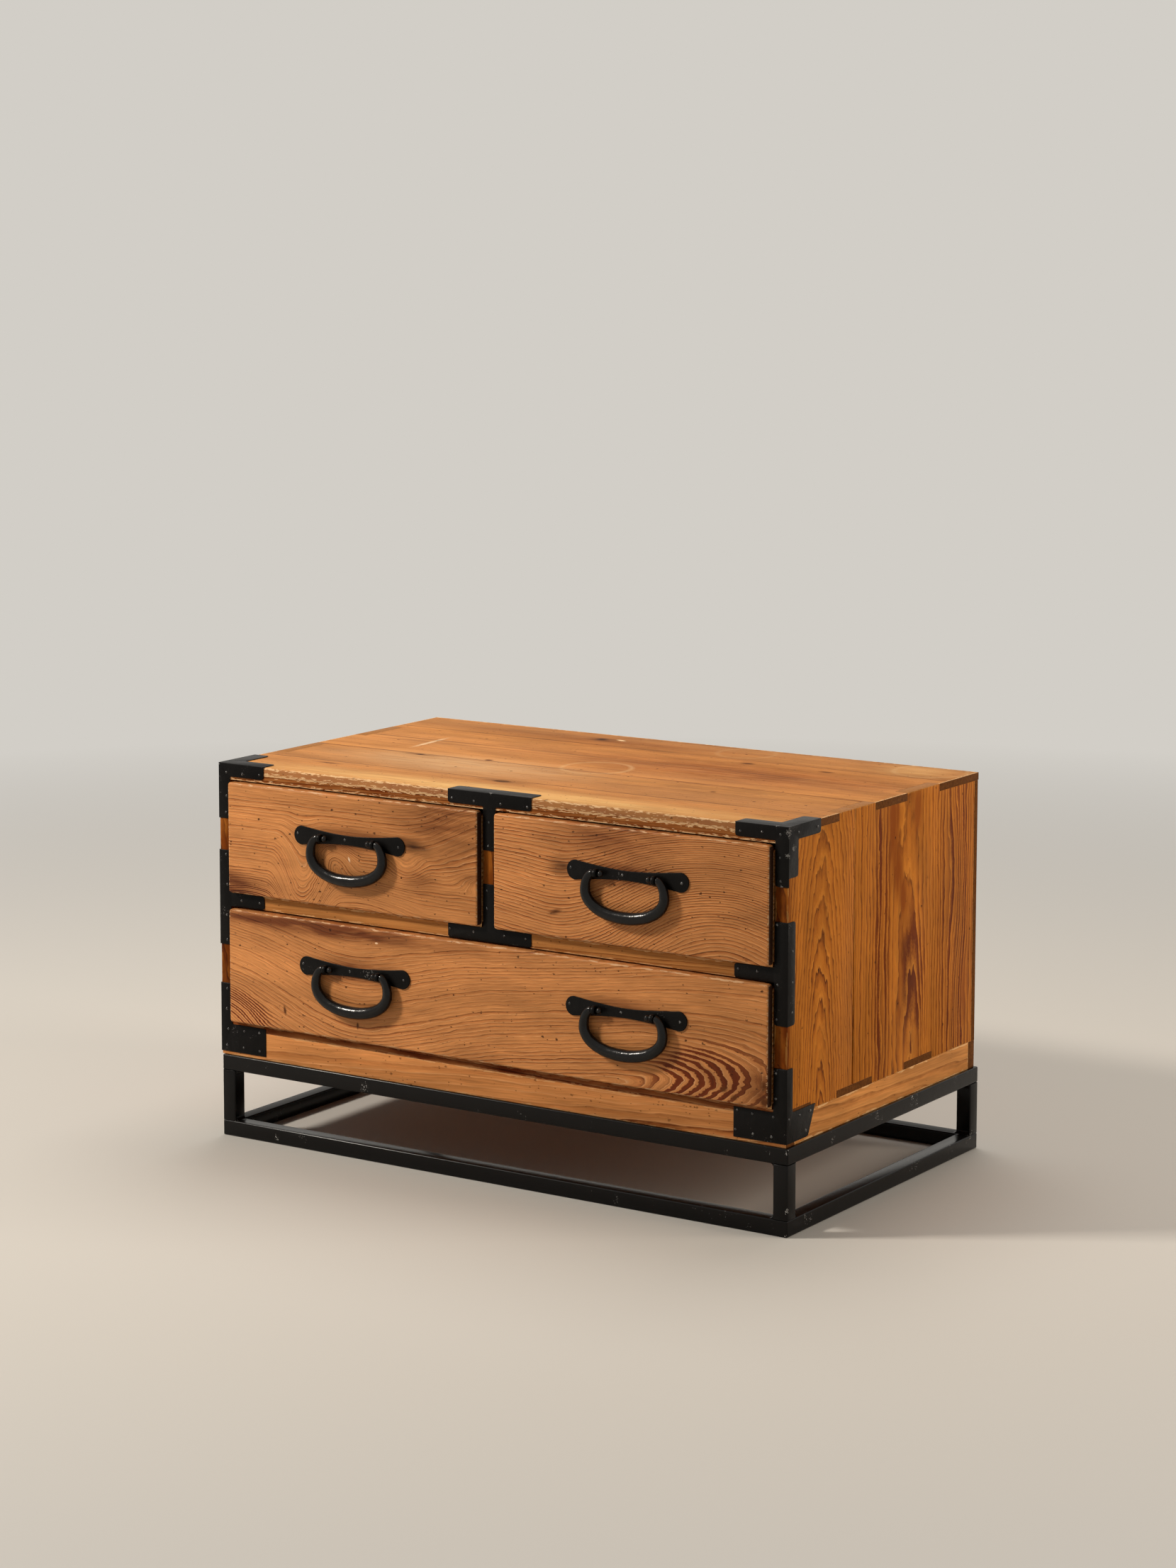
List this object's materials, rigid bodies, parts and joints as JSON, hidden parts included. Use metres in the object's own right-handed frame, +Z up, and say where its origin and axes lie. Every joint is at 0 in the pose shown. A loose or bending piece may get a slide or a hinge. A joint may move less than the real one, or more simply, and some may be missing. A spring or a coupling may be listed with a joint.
{
  "type": "tansu chest on stand",
  "caption": "Low softwood chest with drawers over a long drawer, finger-jointed boards, black corner irons, forged drop bails and a low square-tube stand.",
  "frame": {"origin": "middle of the whole object's footprint, on the floor", "axes": "+X to the right along the front, +Y to the back, +Z up"},
  "size_m": [0.793, 0.4706, 0.4565],
  "materials": {
    "front_wood": "old softwood with raised grain, red-brown, waxed",
    "side_wood": "old softwood, orange-brown, waxed satin",
    "case_wood": "old softwood, yellow-brown, waxed satin",
    "inner_wood": "bare softwood, unfinished",
    "black_iron": "blackened iron, satin",
    "black_steel": "black satin paint on steel tube"
  },
  "bodies": {
    "case": {"top_board": "case_wood", "top_rail": "case_wood", "mid_rail": "case_wood", "shelf": "inner_wood", "left_side_front_board": "side_wood", "left_side_rear_board": "side_wood", "right_side_front_board": "side_wood", "right_side_rear_board": "side_wood", "bottom_board": "inner_wood", "back_panel": "inner_wood", "divider": "side_wood", "plinth_front": "case_wood", "plinth_left": "case_wood", "plinth_right": "case_wood", "plinth_back": "case_wood", "iron_top_left": "black_iron", "iron_top_centre": "black_iron", "iron_top_right": "black_iron", "iron_mid_left": "black_iron", "iron_mid_centre": "black_iron", "iron_mid_right": "black_iron", "iron_bottom_left": "black_iron", "iron_bottom_right": "black_iron", "stand_top_front": "black_steel", "stand_top_right": "black_steel", "stand_top_back": "black_steel", "stand_top_left": "black_steel", "stand_bottom_front": "black_steel", "stand_bottom_right": "black_steel", "stand_bottom_back": "black_steel", "stand_bottom_left": "black_steel", "stand_leg_front_left": "black_steel", "stand_leg_front_right": "black_steel", "stand_leg_back_left": "black_steel", "stand_leg_back_right": "black_steel"},
    "upper_left_drawer": {"upper_left_drawer_front": "front_wood", "upper_left_drawer_left_side": "inner_wood", "upper_left_drawer_right_side": "inner_wood", "upper_left_drawer_back": "inner_wood", "upper_left_drawer_bottom": "inner_wood", "upper_left_handle_plate": "black_iron"},
    "upper_right_drawer": {"upper_right_drawer_front": "front_wood", "upper_right_drawer_left_side": "inner_wood", "upper_right_drawer_right_side": "inner_wood", "upper_right_drawer_back": "inner_wood", "upper_right_drawer_bottom": "inner_wood", "upper_right_handle_plate": "black_iron"},
    "lower_drawer": {"lower_drawer_front": "front_wood", "lower_drawer_left_side": "inner_wood", "lower_drawer_right_side": "inner_wood", "lower_drawer_back": "inner_wood", "lower_drawer_bottom": "inner_wood", "lower_left_handle_plate": "black_iron", "lower_right_handle_plate": "black_iron"},
    "upper_left_bail": {"upper_left_handle_bail": "black_iron"},
    "upper_right_bail": {"upper_right_handle_bail": "black_iron"},
    "lower_left_bail": {"lower_left_handle_bail": "black_iron"},
    "lower_right_bail": {"lower_right_handle_bail": "black_iron"}
  },
  "joints": [
    {"name": "upper_left_drawer_slide", "type": "slide", "parent": "case", "child": "upper_left_drawer", "axis": [0, -1, 0], "range_m": [0, 0.34]},
    {"name": "upper_right_drawer_slide", "type": "slide", "parent": "case", "child": "upper_right_drawer", "axis": [0, -1, 0], "range_m": [0, 0.34]},
    {"name": "lower_drawer_slide", "type": "slide", "parent": "case", "child": "lower_drawer", "axis": [0, -1, 0], "range_m": [0, 0.34]},
    {"name": "upper_left_bail_hinge", "type": "hinge", "parent": "upper_left_drawer", "child": "upper_left_bail", "pos_m": [-0.19475, -0.22874, 0.38265], "axis": [-1, 0, 0], "range_deg": [0, 180]},
    {"name": "upper_right_bail_hinge", "type": "hinge", "parent": "upper_right_drawer", "child": "upper_right_bail", "pos_m": [0.19175, -0.22874, 0.38265], "axis": [-1, 0, 0], "range_deg": [0, 180]},
    {"name": "lower_left_bail_hinge", "type": "hinge", "parent": "lower_drawer", "child": "lower_left_bail", "pos_m": [-0.18825, -0.22874, 0.2265], "axis": [-1, 0, 0], "range_deg": [0, 180]},
    {"name": "lower_right_bail_hinge", "type": "hinge", "parent": "lower_drawer", "child": "lower_right_bail", "pos_m": [0.19025, -0.22874, 0.2265], "axis": [-1, 0, 0], "range_deg": [0, 180]}
  ]
}
